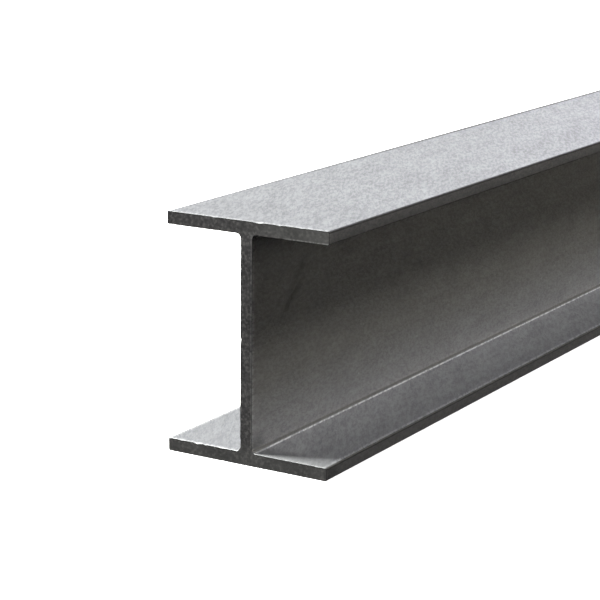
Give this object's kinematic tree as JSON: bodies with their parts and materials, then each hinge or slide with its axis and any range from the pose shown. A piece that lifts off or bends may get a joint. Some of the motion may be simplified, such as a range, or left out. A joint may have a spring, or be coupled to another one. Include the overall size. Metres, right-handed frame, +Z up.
{
  "type": "steel i-beam",
  "caption": "Length of hot-rolled steel I section with parallel flanges, sawn square at its ends, used as a beam, post or rail.",
  "frame": {"origin": "centre of the underside, halfway along the bar", "axes": "+Y along the bar, +X across the flanges, +Z up the web"},
  "size_m": [0.075, 1, 0.1],
  "materials": {
    "rolled_steel": "matt blasted rolling skin, darker at the sawn ends"
  },
  "bodies": {
    "root": {"i_beam": "rolled_steel"}
  },
  "joints": []
}
